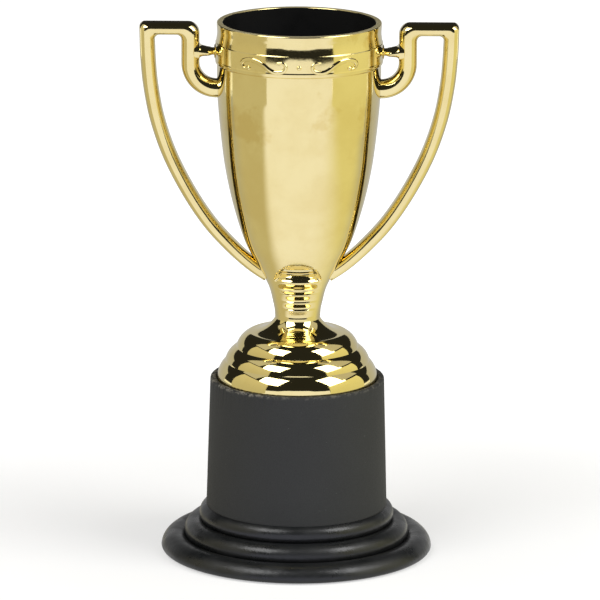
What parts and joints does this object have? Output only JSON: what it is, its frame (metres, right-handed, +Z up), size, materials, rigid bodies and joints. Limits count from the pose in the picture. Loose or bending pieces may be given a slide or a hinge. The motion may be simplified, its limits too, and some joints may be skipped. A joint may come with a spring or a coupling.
{
  "type": "cup trophy",
  "caption": "Small gold cup trophy with angular side handles and a scroll band, on a ringed gold foot, a black column and a stepped round plinth.",
  "frame": {"origin": "centre of the underside of the pad, on the axis of the cup", "axes": "+Z up along the cup's axis, handles along X, scroll band facing -Y and +Y"},
  "size_m": [0.0744, 0.064, 0.127],
  "materials": {
    "gold_plating": "vacuum-metallised gold, mirror bright",
    "cup_lining": "bare black plastic",
    "column_plastic": "matte, fine moulded grain",
    "plinth_plastic": "semi-gloss",
    "zinc_steel": "bright zinc",
    "pad_felt": "pressed felt"
  },
  "bodies": {
    "root": {"base_pad": "pad_felt", "plinth": "plinth_plastic", "column": "column_plastic", "stepped_foot": "gold_plating", "cup_bowl": "gold_plating", "left_handle": "gold_plating", "right_handle": "gold_plating", "tie_rod": "zinc_steel", "cup_nut": "zinc_steel", "base_washer": "zinc_steel", "base_nut": "zinc_steel"}
  },
  "joints": []
}
